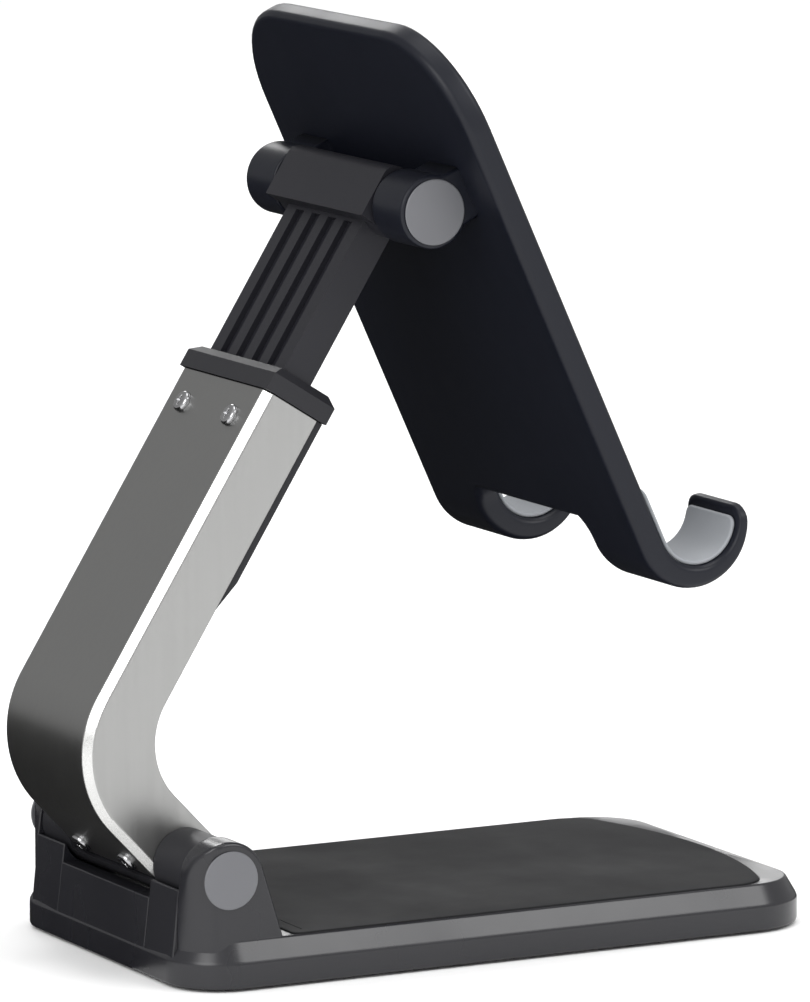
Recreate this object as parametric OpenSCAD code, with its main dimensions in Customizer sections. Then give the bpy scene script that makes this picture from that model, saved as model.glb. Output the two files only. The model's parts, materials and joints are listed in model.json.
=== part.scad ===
// Folding phone stand: weighted base, bent arm with a telescoping slider, tilting phone plate.
// Millimetres. X across, +Y to the rear, +Z up. The origin is the middle of the base's underside.

/* [Base] */
// Width of the base
base_w = 70; // [66:1:90]
// Depth of the base, front to rear
base_l = 120; // [112:1:150]
// Height of the flat top of the base
base_h = 8.2; // [7:0.1:10]
// Plan radius of the two front corners
front_corner_r = 12; // [8:1:20]
// Plan radius of the two rear corners
rear_corner_r = 10; // [8:0.5:10]
// Distance from the rear edge to the hinge axis
hinge_setback = 8.1; // [8:0.1:12]
// Height of the base hinge axis
hinge_z = 18.5; // [18:0.1:24]

/* [Arm] */
// Width of the metal sleeve
sleeve_w = 32; // [31:0.5:34]
// Forward lean of the upper arm, in degrees from upright
upper_lean = 32; // [28:1:34]
// Backward lean of the lower arm, in degrees from upright
lower_lean = 43.6; // [40:0.2:46]
// Length of the arm from the hinge axis to the sleeve's top, along the upper arm
sleeve_top = 74.5; // [72:0.5:90]
// Distance of the slider's head axis from the base hinge, along the upper arm
head_reach = 112.6; // [110:0.2:130]

/* [Phone plate] */
// Width of the phone plate
plate_w = 75.2; // [72:0.2:90]
// Backward lean of the phone plate, in degrees from upright
plate_lean = 24.8; // [15:0.2:35]
// Height of the plate above its hinge axis
plate_above = 29; // [24:1:40]
// Depth of the plate below its hinge axis, to the centre of the hooks
plate_below = 68.2; // [60:0.2:75]
// Thickness of the plate
plate_t = 4.5; // [4:0.1:5]
// Inner radius of the two hooks
hook_inner_r = 7.4; // [6:0.1:8]
// Width of each hook
hook_w = 18; // [14:1:20]

/* [Hidden] */
$fn = 64;

// Clearances and common sheet sizes
gap = 0.3;              // running gap between pieces that move past each other
pin_gap = 0.06;         // radial gap of a pin in its bore
eps = 0.05;             // how far a cutting tool runs past a face

// Base
hinge_y = base_l / 2 - hinge_setback;
bevel_z = 4.8;          // where the side wall ends and the bevel starts
bevel_in = 2;           // how far the bevel leans in
wall = 2;               // wall of the base shell
shell_z = 0.5;          // lower edge of the shell above the table
plate_bottom_z = 0.6;   // underside of the bottom plate
plate_top_z = 2.2;      // top of the bottom plate
foot_in = 4.5;          // inset of the foot pad from the outline
foot_t = 1;             // thickness of the foot pad
boss_r = 3;             // screw bosses inside the base
boss_x = base_w / 2 - 7.5;
boss_y = base_l / 2 - 14;
boss_roof = 0.6;        // how far a boss's pilot hole ends below the shell's roof
cover_screw_r = 1.25;
top_pad_t = 0.8;        // thickness of the silicone top pad
top_pad_proud = 0.2;    // how far it stands above the base
top_pad_front_gap = 3.6; // base front edge to the foremost point of the pad
top_pad_arc_r = 80;     // radius of the pad's bowed front edge
top_pad_corner_r = 7;
top_pad_side_gap = 0.5; // flat rim left beside the pad
top_pad_rear_y = hinge_y - 12;
ear_r = 6.3;            // rounded top of the base's hinge ears
ear_outer_x = base_w / 2 - bevel_in;
ear_inner_x = ear_outer_x - 6.1;
ear_front = 9.8;        // hinge axis to the foot of an ear's front slope
ear_floor = 1.8;        // wall left behind an ear's counterbore
ear_corner_in = 1;      // the ears' rear corners are this far inside the base's plan
saddle_r = 6.4;         // cut that the arm's barrel turns in
saddle_top_z = 16.4;    // top of the rear wall beside the sleeve
saddle_notch_z = 13.4;  // top of the rear wall behind the sleeve
saddle_front = 5;       // hinge axis to the front of the rear wall's top

// Hinge hardware, the same pattern in both hinges
pin_r = 2;
counterbore_r = 4.2;
screw_head_gap = 0.5;   // radial gap of the hinge screw's head in its counterbore
screw_head_t = 2.2;
screw_head_lift = 0.2;  // counterbore floor to the screw's head
washer_lift = 0.1;      // counterbore floor to the first washer
nut_lift = 1.6;         // counterbore floor to the nut
nut_t = 1.6;
nut_flats = 6.6;
base_cap_r = 4.9;
cap_proud = 0.4;

// Arm, measured from the base hinge axis square to each leg
sheet = 1.2;
upper_rear = 28.25;
upper_front = 17.15;
lower_rear = 5.2;
lower_front = -6.6;
rear_bend_r = 18.5;
front_bend_r = 12.8;
sleeve_foot_rear = 1.6;
sleeve_foot_front = -3;
bend_steps = 24;
barrel_r = 5.9;
barrel_core_r = 3.9;    // the barrel between the sleeve's sheets
barrel_half = ear_inner_x - 0.4;
barrel_cut = 9;         // half depth of the cut that lets the sleeve's foot into the barrel
barrel_cut_top = 12;    // how far up the lower arm that cut runs
tongue_top = 11;        // top of the barrel's tongue inside the sleeve
arm_screw_x = 8.8;
collar_screw_drop = 5.9;
collar_screw_l = 1.8;
barrel_screw_l = 3;
barrel_screw_up = 4.6;
screw_head_r = 1.9;
screw_shank_r = 1;

// Front cover and collar
cover_t = 1.6;
cover_proud = 1.5;
cover_proud_from = 41.5;
collar_h = 4.6;
collar_plug = 15.2;
collar_chamfer = 1.4;

// Slider, measured like the arm
bar_w = 27.2;
bar_front = 20.15;
bar_rear = 26.05;
bar_foot = 44;
groove_pitch = 5.8;
groove_w = 2.8;
groove_d = 1;
groove_top = 4.8;       // where the grooves end, below the head axis
stop_h = 3;
stop_screw_x = 8;
stop_screw_n = (bar_front + bar_rear - groove_d) / 2;
spring_w = 14;
head_axis_n = 22.9;     // head axis, square to the upper arm
head_block_half = 17.5;
head_block_r = 5.9;
head_block_rear = 6;

// Phone plate, measured from its hinge axis
plate_rear = 7;
shoulder_r = 18;
plate_edge_in = 0.7;    // the front face is this much smaller all round
plate_edge_t = 1.6;     // depth of that step
plate_ear_r = 6.2;
plate_web = 9.4;        // height of the web that joins an ear to the plate
plate_ear_in = 18;
plate_ear_out = 28.4;
plate_ear_floor = 3;    // wall left behind a plate ear's counterbore
head_cap_r = 5.5;
notch_top = 63;         // top of the gap between the hooks
notch_r = 5;
plate_front = plate_rear + plate_t;
hook_outer_r = hook_inner_r + 3.2;
hook_outer_y = -(plate_rear + hook_outer_r);  // the two circles are off centre: thin at the tip
hook_inner_y = -(plate_front + hook_inner_r);
hook_tip_drop = 2.5;    // how far the tip stops short of the hook's centre
hook_pad_drop = 2.8;    // the same for the pad
hook_pad_up = 10;       // how far the pad runs up the plate
front_pad_t = 1;
front_pad_side = 7;     // plate edge to the pad
front_pad_above = 3;
front_pad_foot = 50;    // hinge axis to the pad's lower edge
front_pad_r = 14;
hook_pad_t = 0.8;
hook_pad_in = 1.2;      // the pad is this much narrower than its hook on each side

// ---- Shared helpers -------------------------------------------------------

// Extrudes an outline drawn in the (y, z) plane from x0 to x1.
module across(x0, x1) {
    translate([x0, 0, 0])
        rotate([90, 0, 90])
            linear_extrude(x1 - x0) children();
}

// Round bar along X.
module rod(x0, x1, r) {
    translate([x0, 0, 0])
        rotate([0, 90, 0])
            cylinder(h = x1 - x0, r = r);
}

// Points on an arc round centre, from angle a0 to a1.
function arc_points(centre, r, a0, a1, steps) =
    [for (i = [0:steps]) let (a = a0 + (a1 - a0) * i / steps) centre + r * [cos(a), sin(a)]];

// Rectangle with its two upper corners cut at 45 degrees.
module chamfered_side(w, h, chamfer) {
    polygon([[0, 0], [w, 0], [w, h - chamfer], [w - chamfer, h], [chamfer, h], [0, h - chamfer]]);
}

// Block with the four upper edges chamfered at 45 degrees.
module chamfered_block(low, high, chamfer) {
    size = high - low;
    translate(low)
        intersection() {
            across(0, size[0])
                chamfered_side(size[1], size[2], chamfer);
            translate([0, size[1], 0])
                rotate([90, 0, 0])
                    linear_extrude(size[1]) chamfered_side(size[0], size[2], chamfer);
        }
}

// Draws the children on both sides of the middle plane.
module both_sides() {
    children();
    mirror([1, 0, 0]) children();
}

// Frames: Y is square to the leg towards the rear, Z runs up along it.
module at_base_hinge() { translate([0, hinge_y, hinge_z]) children(); }
module along_upper_arm() { at_base_hinge() rotate([upper_lean, 0, 0]) children(); }
module along_lower_arm() { at_base_hinge() rotate([-lower_lean, 0, 0]) children(); }
module at_head_hinge() { along_upper_arm() translate([0, head_axis_n, head_reach]) children(); }
module along_plate() { at_head_hinge() rotate([-upper_lean - plate_lean, 0, 0]) children(); }

// Small pan-head screw: the head sits on z = 0, the shank points down, with a cross slot on top.
module pan_screw(length, head_r = screw_head_r, shank_r = screw_shank_r) {
    head_h = 0.9;
    slot_w = 0.5;
    slot_l = head_r * 1.1;
    slot_d = 0.45;
    difference() {
        union() {
            cylinder(h = head_h, r = head_r);
            translate([0, 0, -length]) cylinder(h = length + eps, r = shank_r);
        }
        for (turn = [0, 90])
            rotate(turn)
                translate([-slot_l / 2, -slot_w / 2, head_h - slot_d])
                    cube([slot_l, slot_w, slot_d + eps]);
    }
}

// Hinge hardware along X. floor_x is the distance from the middle to a counterbore's floor.
module hex_nut(floor_x) {
    x0 = floor_x + nut_lift;
    difference() {
        translate([x0, 0, 0])
            rotate([0, 90, 0])
                cylinder(h = nut_t, r = nut_flats / sqrt(3), $fn = 6);
        rod(x0 - eps, x0 + nut_t + eps, pin_r + pin_gap);
    }
}

// Three spring washers, with thin gaps that a dished washer leaves.
module washer_stack(floor_x) {
    washer_t = 0.4;
    washer_r = counterbore_r - 0.4;
    pitch = 0.5;
    for (i = [0:2])
        let (x0 = floor_x + washer_lift + i * pitch)
            difference() {
                rod(x0, x0 + washer_t, washer_r);
                rod(x0 - eps, x0 + washer_t + eps, pin_r + pin_gap);
            }
}

// A shank with a broad head in the -X ear.
module hinge_screw(floor_x) {
    head_x = -floor_x - screw_head_lift - screw_head_t;
    rod(head_x, floor_x + nut_lift + nut_t, pin_r);
    rod(head_x, head_x + screw_head_t, counterbore_r - screw_head_gap);
}

// Cap that closes a counterbore on the +X side: a disc on the face and a plug behind it.
module hinge_cap(face_x, r) {
    plug = 0.9;
    rod(face_x, face_x + cap_proud, r);
    rod(face_x - plug, face_x + eps, counterbore_r - 0.1);
}

// ---- Base -----------------------------------------------------------------

// Plan of the base, moved in by inset: large radii at the front, small ones at the rear.
module base_plan(inset = 0) {
    w = base_w / 2 - inset;
    l = base_l / 2 - inset;
    rf = front_corner_r - inset;
    rr = rear_corner_r - inset;
    polygon([
        [w, -l + rf], [w, l - rr], [w - rr, l], [-w + rr, l],
        [-w, l - rr], [-w, -l + rf], [-w + rf, -l], [w - rf, -l]
    ]);
    for (side = [-1, 1]) {
        translate([side * (w - rf), -l + rf]) circle(r = rf);
        translate([side * (w - rr), l - rr]) circle(r = rr);
    }
}

// Plan of the silicone top pad: straight sides, and a bowed front that runs into round corners.
module top_pad_plan(grow = 0) {
    bow_steps = 24;
    corner_steps = 8;
    half = base_w / 2 - bevel_in - top_pad_side_gap + grow;
    bow_r = top_pad_arc_r + grow;
    corner_r = top_pad_corner_r + grow;
    bow_y = top_pad_front_gap - base_l / 2 + top_pad_arc_r;
    corner_x = half - corner_r;
    corner_y = bow_y - sqrt(pow(bow_r - corner_r, 2) - pow(corner_x, 2));
    lean = asin(corner_x / (bow_r - corner_r));
    polygon(concat(
        arc_points([0, bow_y], bow_r, 270 - lean, 270 + lean, bow_steps),
        arc_points([corner_x, corner_y], corner_r, 270 + lean + 1, 360, corner_steps),
        [[half, top_pad_rear_y + grow], [-half, top_pad_rear_y + grow]],
        arc_points([-corner_x, corner_y], corner_r, 180, 270 - lean - 1, corner_steps)
    ));
}

// Direction, from the circle's centre, of the point where a line from foot touches a circle of radius r.
function touch_angle(foot, r, side) = atan2(foot[1], foot[0]) + side * acos(r / norm(foot));

// Side view of one hinge ear, drawn round the hinge axis: two slopes that run into a round top.
rear_foot = [hinge_setback, bevel_z - hinge_z];
front_foot = [-ear_front, base_h - hinge_z];
rear_touch = touch_angle(rear_foot, ear_r, 1);
front_touch = touch_angle(front_foot, ear_r, -1) + 360;

module ear_side() {
    polygon(concat(
        [rear_foot],
        arc_points([0, 0], ear_r, rear_touch, front_touch, bend_steps),
        [front_foot, [-ear_front, rear_foot[1]]]
    ));
}

// Side view of the low wall between the ears, up to the height top_z above the table.
module saddle_side(top_z) {
    top = top_z - hinge_z;
    rear_lean = tan(rear_touch);
    polygon([
        rear_foot, [rear_foot[0] - rear_lean * (top - rear_foot[1]), top], [-saddle_front, top],
        front_foot, [-ear_front, rear_foot[1]]
    ]);
}

// The bevelled upper part of the base: straight sides that lean in, and a cone at each corner.
module bevelled_top() {
    h = base_h - bevel_z;
    half_w = base_w / 2;
    half_l = base_l / 2;
    front_y = -half_l + front_corner_r;
    rear_y = half_l - rear_corner_r;
    front_x = half_w - front_corner_r;
    rear_x = half_w - rear_corner_r;
    translate([0, rear_y, bevel_z])
        rotate([90, 0, 0])
            linear_extrude(rear_y - front_y)
                polygon([[-half_w, 0], [half_w, 0], [half_w - bevel_in, h], [-half_w + bevel_in, h]]);
    translate([0, 0, bevel_z]) {
        across(-front_x, front_x)
            polygon([[-half_l, 0], [front_y, 0], [front_y, h], [-half_l + bevel_in, h]]);
        across(-rear_x, rear_x)
            polygon([[half_l, 0], [rear_y, 0], [rear_y, h], [half_l - bevel_in, h]]);
    }
    both_sides() {
        translate([front_x, front_y, bevel_z])
            cylinder(h = h, r1 = front_corner_r, r2 = front_corner_r - bevel_in);
        translate([rear_x, rear_y, bevel_z])
            cylinder(h = h, r1 = rear_corner_r, r2 = rear_corner_r - bevel_in);
    }
}

// One hinge ear on the +X side. Its rear corner follows the base's round corner.
module hinge_ear() {
    reach = 2 * rear_corner_r;
    difference() {
        at_base_hinge() across(ear_inner_x, ear_outer_x) ear_side();
        translate([base_w / 2 - rear_corner_r, base_l / 2 - rear_corner_r, 0])
            difference() {
                cube([reach, reach, hinge_z + reach]);
                translate([0, 0, -1]) cylinder(h = hinge_z + reach + 2, r = rear_corner_r - ear_corner_in);
            }
    }
}

// Both hinge ears, with the low wall between them.
module hinge_housing() {
    sleeve_room = sleeve_w / 2 + 0.6;
    both_sides() {
        hinge_ear();
        at_base_hinge() across(sleeve_room, ear_inner_x + eps) saddle_side(saddle_top_z);
    }
    at_base_hinge() across(-sleeve_room - eps, sleeve_room + eps) saddle_side(saddle_notch_z);
}

module base_shell() {
    color([0.16, 0.16, 0.18])
    difference() {
        union() {
            translate([0, 0, shell_z]) linear_extrude(bevel_z - shell_z) base_plan();
            bevelled_top();
            hinge_housing();
        }
        // hollow underside
        difference() {
            translate([0, 0, -eps]) linear_extrude(base_h - wall) base_plan(wall);
            for (sx = [-1, 1], sy = [-1, 1])
                translate([sx * boss_x, sy * boss_y, plate_top_z + 0.1]) cylinder(h = base_h, r = boss_r);
        }
        // pilot holes of the cover screws
        for (sx = [-1, 1], sy = [-1, 1])
            translate([sx * boss_x, sy * boss_y, 0])
                cylinder(h = base_h - wall - boss_roof, r = cover_screw_r);
        // pocket of the top pad
        translate([0, 0, base_h - top_pad_t + top_pad_proud]) linear_extrude(top_pad_t) top_pad_plan(0.1);
        at_base_hinge() {
            rod(-ear_inner_x, ear_inner_x, saddle_r);
            rod(-base_w, base_w, pin_r + 0.02);
            both_sides() rod(ear_inner_x + ear_floor, base_w, counterbore_r);
        }
    }
}

module base_bottom_plate() {
    color([0.12, 0.12, 0.13])
    difference() {
        translate([0, 0, plate_bottom_z])
            linear_extrude(plate_top_z - plate_bottom_z) base_plan(wall + 0.2);
        translate([0, 0, -eps]) linear_extrude(foot_t + eps) base_plan(foot_in - 0.1);
        for (sx = [-1, 1], sy = [-1, 1])
            translate([sx * boss_x, sy * boss_y, 0]) cylinder(h = base_h, r = cover_screw_r + 0.15);
    }
}

// Steel plate that keeps the stand on its feet.
module base_weight() {
    side_gap = 11;
    end_gap = 15;
    lift = 0.1;
    top_gap = 0.3;
    weight_w = base_w - 2 * side_gap;
    weight_l = base_l - 2 * end_gap;
    weight_t = base_h - wall - plate_top_z - lift - top_gap;
    color([0.55, 0.56, 0.58])
    translate([-weight_w / 2, -weight_l / 2, plate_top_z + lift])
        cube([weight_w, weight_l, weight_t]);
}

module base_top_pad() {
    color([0.2, 0.2, 0.21])
    translate([0, 0, base_h - top_pad_t + top_pad_proud]) linear_extrude(top_pad_t) top_pad_plan();
}

module base_foot_pad() {
    color([0.1, 0.1, 0.1])
    linear_extrude(foot_t) base_plan(foot_in);
}

module base_cover_screws() {
    head_h = 0.5;
    color([0.7, 0.7, 0.72])
    for (sx = [-1, 1], sy = [-1, 1])
        translate([sx * boss_x, sy * boss_y, foot_t]) {
            cylinder(h = base_h - wall - foot_t - boss_roof - 2 * gap, r = cover_screw_r);
            cylinder(h = head_h, r = cover_screw_r + 0.1);
        }
}

module base_hinge_pin() {
    color([0.72, 0.72, 0.74])
    at_base_hinge() hinge_screw(ear_inner_x + ear_floor);
}

module base_spring_washers() {
    color([0.62, 0.62, 0.64])
    at_base_hinge() washer_stack(ear_inner_x + ear_floor);
}

module base_hinge_nut() {
    color([0.72, 0.72, 0.74])
    at_base_hinge() hex_nut(ear_inner_x + ear_floor);
}

module base_cap_right() {
    color([0.5, 0.51, 0.54])
    at_base_hinge() hinge_cap(ear_outer_x, base_cap_r);
}

module base_cap_left() {
    color([0.5, 0.51, 0.54])
    at_base_hinge() mirror([1, 0, 0]) hinge_cap(ear_outer_x, base_cap_r);
}

// ---- Arm ------------------------------------------------------------------

// Unit vectors of the two legs, in (y, z): n is square to the leg, u runs up along it.
upper_n = [cos(upper_lean), sin(upper_lean)];
upper_u = [-sin(upper_lean), cos(upper_lean)];
lower_n = [cos(lower_lean), -sin(lower_lean)];
lower_u = [sin(lower_lean), cos(lower_lean)];

// The point at distance a from the axis square to the upper leg and b square to the lower leg.
function corner(a, b) =
    [a * lower_n[1] - b * upper_n[1], b * upper_n[0] - a * lower_n[0]]
    / (upper_n[0] * lower_n[1] - upper_n[1] * lower_n[0]);

// One face of the bent arm, from its top end round the bend to its foot.
function bent_face(upper, lower, r, top, foot) = concat(
    [upper * upper_n + top * upper_u],
    [for (i = [0:bend_steps])
        let (t = upper_lean - (upper_lean + lower_lean) * i / bend_steps)
        corner(upper - r, lower - r) + r * [cos(t), sin(t)]],
    [lower * lower_n + foot * lower_u]
);

function reversed(list) = [for (i = [len(list) - 1:-1:0]) list[i]];

// Side view of the arm between a rear face and a front face.
module arm_side(rear_in, front_in, top, foot_rear, foot_front) {
    polygon(concat(
        bent_face(upper_rear - rear_in, lower_rear - rear_in, rear_bend_r - rear_in, top, foot_rear),
        reversed(bent_face(upper_front + front_in, lower_front + front_in,
            front_bend_r + front_in, top, foot_front))
    ));
}

// Pair of holes square to a leg, starting at depth y0 and at a height along the leg.
module screw_holes(y0, height, length, r) {
    for (side = [-1, 1])
        translate([side * arm_screw_x, y0, height])
            rotate([-90, 0, 0]) cylinder(h = length, r = r);
}

module arm_sleeve() {
    past_end = 8;
    hole_l = 2 * sheet;
    hole_r = screw_shank_r + 0.1;
    color([0.62, 0.62, 0.63])
    difference() {
        at_base_hinge() across(-sleeve_w / 2, sleeve_w / 2)
            arm_side(0, 0, sleeve_top, sleeve_foot_rear, sleeve_foot_front);
        at_base_hinge() across(-sleeve_w / 2 + sheet, sleeve_w / 2 - sheet)
            arm_side(sheet, -past_end, sleeve_top + past_end, sleeve_foot_rear - past_end,
                sleeve_foot_front - past_end);
        along_upper_arm()
            screw_holes(upper_rear - 1.5 * sheet, sleeve_top - collar_screw_drop, hole_l, hole_r);
        along_lower_arm() screw_holes(lower_rear - 1.5 * sheet, barrel_screw_up, hole_l, hole_r);
        // room for the hinge screw at the foot
        at_base_hinge() rod(-sleeve_w, sleeve_w, pin_r + gap);
    }
}

// Black channel cover: flush between the sheet edges, with a raised strip beside the slider.
module arm_front_cover() {
    inner_half = sleeve_w / 2 - sheet - 0.1;
    lip_half = sleeve_w / 2 - 0.8;
    foot_up_rear = 0.8;
    foot_up_front = 0.4;
    ramp_foot = cover_proud_from - 4;
    ramp_top = cover_proud_from + 3;
    color([0.17, 0.17, 0.19])
    union() {
        at_base_hinge() across(-inner_half, inner_half)
            polygon(concat(
                bent_face(upper_front + cover_t, lower_front + cover_t, front_bend_r + cover_t,
                    sleeve_top, sleeve_foot_front + foot_up_rear),
                reversed(bent_face(upper_front + 0.1, lower_front + 0.1, front_bend_r + 0.1,
                    sleeve_top, sleeve_foot_front + foot_up_front))
            ));
        along_upper_arm() across(-lip_half, lip_half)
            polygon([
                [upper_front - eps, sleeve_top], [upper_front - eps, ramp_foot],
                [upper_front - cover_proud, ramp_top],
                [upper_front - cover_proud, sleeve_top]
            ]);
        along_upper_arm() across(-inner_half, inner_half)
            translate([upper_front - 0.5, cover_proud_from]) square([1, sleeve_top - cover_proud_from]);
    }
}

// Black collar that closes the top of the sleeve and guides the slider.
module arm_collar() {
    plug_half = sleeve_w / 2 - sheet - 0.1;
    cap_half = sleeve_w / 2 + 0.2;
    cap_rear = upper_rear + 0.2;
    cap_front = upper_front - cover_proud - 0.2;
    cap_foot = sleeve_top + 0.1;
    plug_rear = upper_rear - sheet - 0.1;
    plug_front = upper_front + cover_t + 0.1;
    plug_foot = sleeve_top - collar_plug;
    slot_half = bar_w / 2 + gap;
    spring_half = spring_w / 2 + gap;
    color([0.18, 0.18, 0.2])
    along_upper_arm()
    difference() {
        union() {
            chamfered_block([-cap_half, cap_front, cap_foot],
                [cap_half, cap_rear, sleeve_top + collar_h], collar_chamfer);
            translate([-plug_half, plug_front, plug_foot])
                cube([2 * plug_half, plug_rear - plug_front, collar_plug + 1]);
        }
        translate([-slot_half, bar_front - gap, plug_foot - 1])
            cube([2 * slot_half, bar_rear - bar_front + 2 * gap, collar_plug + collar_h + 2]);
        // channel that the leaf spring runs in
        translate([-spring_half, plug_front - 1, plug_foot - 1])
            cube([2 * spring_half, bar_front - plug_front + 1, collar_plug + 1]);
        screw_holes(plug_rear - 1, sleeve_top - collar_screw_drop, 2, screw_shank_r + pin_gap);
    }
}

// Two screws through the rear of the sleeve into the collar's plug.
module collar_screws() {
    color([0.8, 0.8, 0.82])
    along_upper_arm()
        for (side = [-1, 1])
            translate([side * arm_screw_x, upper_rear, sleeve_top - collar_screw_drop])
                rotate([-90, 0, 0]) pan_screw(collar_screw_l);
}

// Two screws through the foot of the sleeve into the hinge barrel.
module barrel_screws() {
    color([0.8, 0.8, 0.82])
    along_lower_arm()
        for (side = [-1, 1])
            translate([side * arm_screw_x, lower_rear, barrel_screw_up])
                rotate([-90, 0, 0]) pan_screw(barrel_screw_l);
}

// Side view of the cut in the barrel that the sleeve's foot stands in.
module barrel_cut_side() {
    front = sleeve_foot_front - 1.2;
    rear = sleeve_foot_rear + 1.1;
    polygon([
        [-barrel_cut, front], [barrel_cut, rear],
        [barrel_cut, barrel_cut_top], [-barrel_cut, barrel_cut_top]
    ]);
}

// Barrel that turns on the base pin, with a tongue that reaches up inside the sleeve.
module arm_hinge_barrel() {
    tongue_half = sleeve_w / 2 - sheet - 0.2;
    tongue_rear = lower_rear - sheet - 0.1;
    tongue_front = lower_front + cover_t + 0.2;
    end = sleeve_w / 2 + 0.1;
    color([0.2, 0.2, 0.22])
    difference() {
        union() {
            at_base_hinge() {
                both_sides() rod(end, barrel_half, barrel_r);
                rod(-end - eps, end + eps, barrel_core_r);
            }
            difference() {
                at_base_hinge() rod(-end - eps, end + eps, barrel_r);
                along_lower_arm() across(-sleeve_w, sleeve_w) barrel_cut_side();
            }
            along_lower_arm() across(-tongue_half, tongue_half)
                translate([tongue_front, 0]) square([tongue_rear - tongue_front, tongue_top]);
        }
        // room for the sleeve's side sheets
        along_lower_arm() both_sides() across(sleeve_w / 2 - sheet - 0.1, end) barrel_cut_side();
        at_base_hinge() rod(-base_w, base_w, pin_r + pin_gap);
        along_lower_arm() screw_holes(0, barrel_screw_up, barrel_cut, screw_shank_r + pin_gap);
    }
}

// ---- Slider ---------------------------------------------------------------

// Ribbed bar with the head block that carries the plate's hinge.
module slider_bar() {
    grooves = 4;
    block_foot = 5.2;
    round_top = 2.5;
    stop_hole_l = 5.5;
    color([0.2, 0.2, 0.22])
    difference() {
        along_upper_arm() {
            union() {
                translate([-bar_w / 2, bar_front, bar_foot])
                    cube([bar_w, bar_rear - bar_front, head_reach - bar_foot]);
                translate([0, head_axis_n, head_reach]) {
                    rod(-head_block_half, head_block_half, head_block_r);
                    across(-head_block_half, head_block_half) {
                        translate([0, -block_foot])
                            square([head_block_rear, 2 * block_foot - round_top]);
                        translate([0, -block_foot])
                            square([head_block_rear - round_top, 2 * block_foot]);
                        translate([head_block_rear - round_top, block_foot - round_top])
                            circle(r = round_top);
                    }
                }
            }
        }
        along_upper_arm()
            for (i = [0:grooves - 1])
                translate([(i - (grooves - 1) / 2) * groove_pitch - groove_w / 2, bar_rear - groove_d,
                        bar_foot - 1])
                    cube([groove_w, groove_d + 1, head_reach - groove_top - bar_foot]);
        at_head_hinge() rod(-base_w, base_w, pin_r + pin_gap);
        // blind holes for the stop's screws
        along_upper_arm()
            for (side = [-1, 1])
                translate([side * stop_screw_x, stop_screw_n, bar_foot - eps])
                    cylinder(h = stop_hole_l, r = screw_shank_r + pin_gap);
    }
}

// Foot plate that is too big for the collar and stops the slider from coming out.
module slider_stop() {
    half = sleeve_w / 2 - sheet - 0.4;
    front = upper_front + cover_t + 0.3;
    rear = upper_rear - sheet - 0.4;
    color([0.85, 0.85, 0.82])
    along_upper_arm()
    difference() {
        translate([-half, front, bar_foot - stop_h]) cube([2 * half, rear - front, stop_h]);
        for (side = [-1, 1])
            translate([side * stop_screw_x, stop_screw_n, bar_foot - stop_h - 1])
                cylinder(h = stop_h + 2, r = screw_shank_r + 0.1);
    }
}

module slider_stop_screws() {
    stop_screw_l = stop_h + 4.5;
    stop_screw_head_r = 1.8;
    color([0.8, 0.8, 0.82])
    along_upper_arm()
        for (side = [-1, 1])
            translate([side * stop_screw_x, stop_screw_n, bar_foot - stop_h])
                mirror([0, 0, 1]) pan_screw(stop_screw_l, stop_screw_head_r, screw_shank_r);
}

// Bowed leaf spring on the front of the bar, which holds the slider at any height.
module slider_spring() {
    spring_t = 0.35;
    rise = 0.7;             // height of the bow above the bar
    chord = 14;
    bow_r = (pow(chord / 2, 2) + pow(rise, 2)) / (2 * rise);
    color([0.75, 0.75, 0.77])
    along_upper_arm()
        translate([0, bar_front, bar_foot + 1 + chord / 2])
            across(-spring_w / 2, spring_w / 2)
                intersection() {
                    translate([bow_r - rise - spring_t, 0])
                        difference() {
                            circle(r = bow_r, $fn = 128);
                            circle(r = bow_r - spring_t, $fn = 128);
                        }
                    translate([-rise - 1, -chord / 2]) square([rise + 1 - 0.02, chord]);
                }
}

// ---- Head -----------------------------------------------------------------

// Face-on outline of the plate: big shoulders, and a gap between the two hooks.
module plate_face(inset = 0) {
    w = plate_w / 2 - inset;
    top = plate_above - inset;
    r = shoulder_r - inset;
    gap_half = plate_w / 2 - hook_w + inset;
    difference() {
        union() {
            translate([-w, -plate_below]) square([2 * w, top - r + plate_below]);
            translate([-w + r, 0]) square([2 * (w - r), top]);
            for (side = [-1, 1])
                translate([side * (w - r), top - r]) circle(r = r);
        }
        translate([-gap_half, -plate_below - 1])
            square([2 * gap_half, plate_below - notch_top + 1 - notch_r]);
        translate([-gap_half + notch_r, -plate_below - 1])
            square([2 * (gap_half - notch_r), plate_below - notch_top + 1 + inset]);
        for (side = [-1, 1])
            translate([side * (gap_half - notch_r), -notch_top - notch_r + inset]) circle(r = notch_r);
    }
}

// Stands a face-on outline up, from depth y0 to y1 behind the hinge axis.
module upright(y0, y1) {
    translate([0, y1, 0])
        rotate([90, 0, 0])
            linear_extrude(y1 - y0) children();
}

// Side view of a J hook: it gets thinner from the plate's lower end to its rounded tip.
module hook_side() {
    reach = 2 * hook_outer_r;
    outer_tip = hook_outer_y - sqrt(pow(hook_outer_r, 2) - pow(hook_tip_drop, 2));
    inner_tip = hook_inner_y - sqrt(pow(hook_inner_r, 2) - pow(hook_tip_drop, 2));
    translate([0, -plate_below]) {
        intersection() {
            difference() {
                translate([hook_outer_y, 0]) circle(r = hook_outer_r);
                translate([hook_inner_y, 0]) circle(r = hook_inner_r);
            }
            union() {
                translate([hook_inner_y, -reach]) square([reach, reach]);
                translate([hook_inner_y - reach, -reach]) square([reach, reach - hook_tip_drop]);
            }
        }
        translate([(outer_tip + inner_tip) / 2, -hook_tip_drop]) circle(r = (inner_tip - outer_tip) / 2);
    }
}

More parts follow.
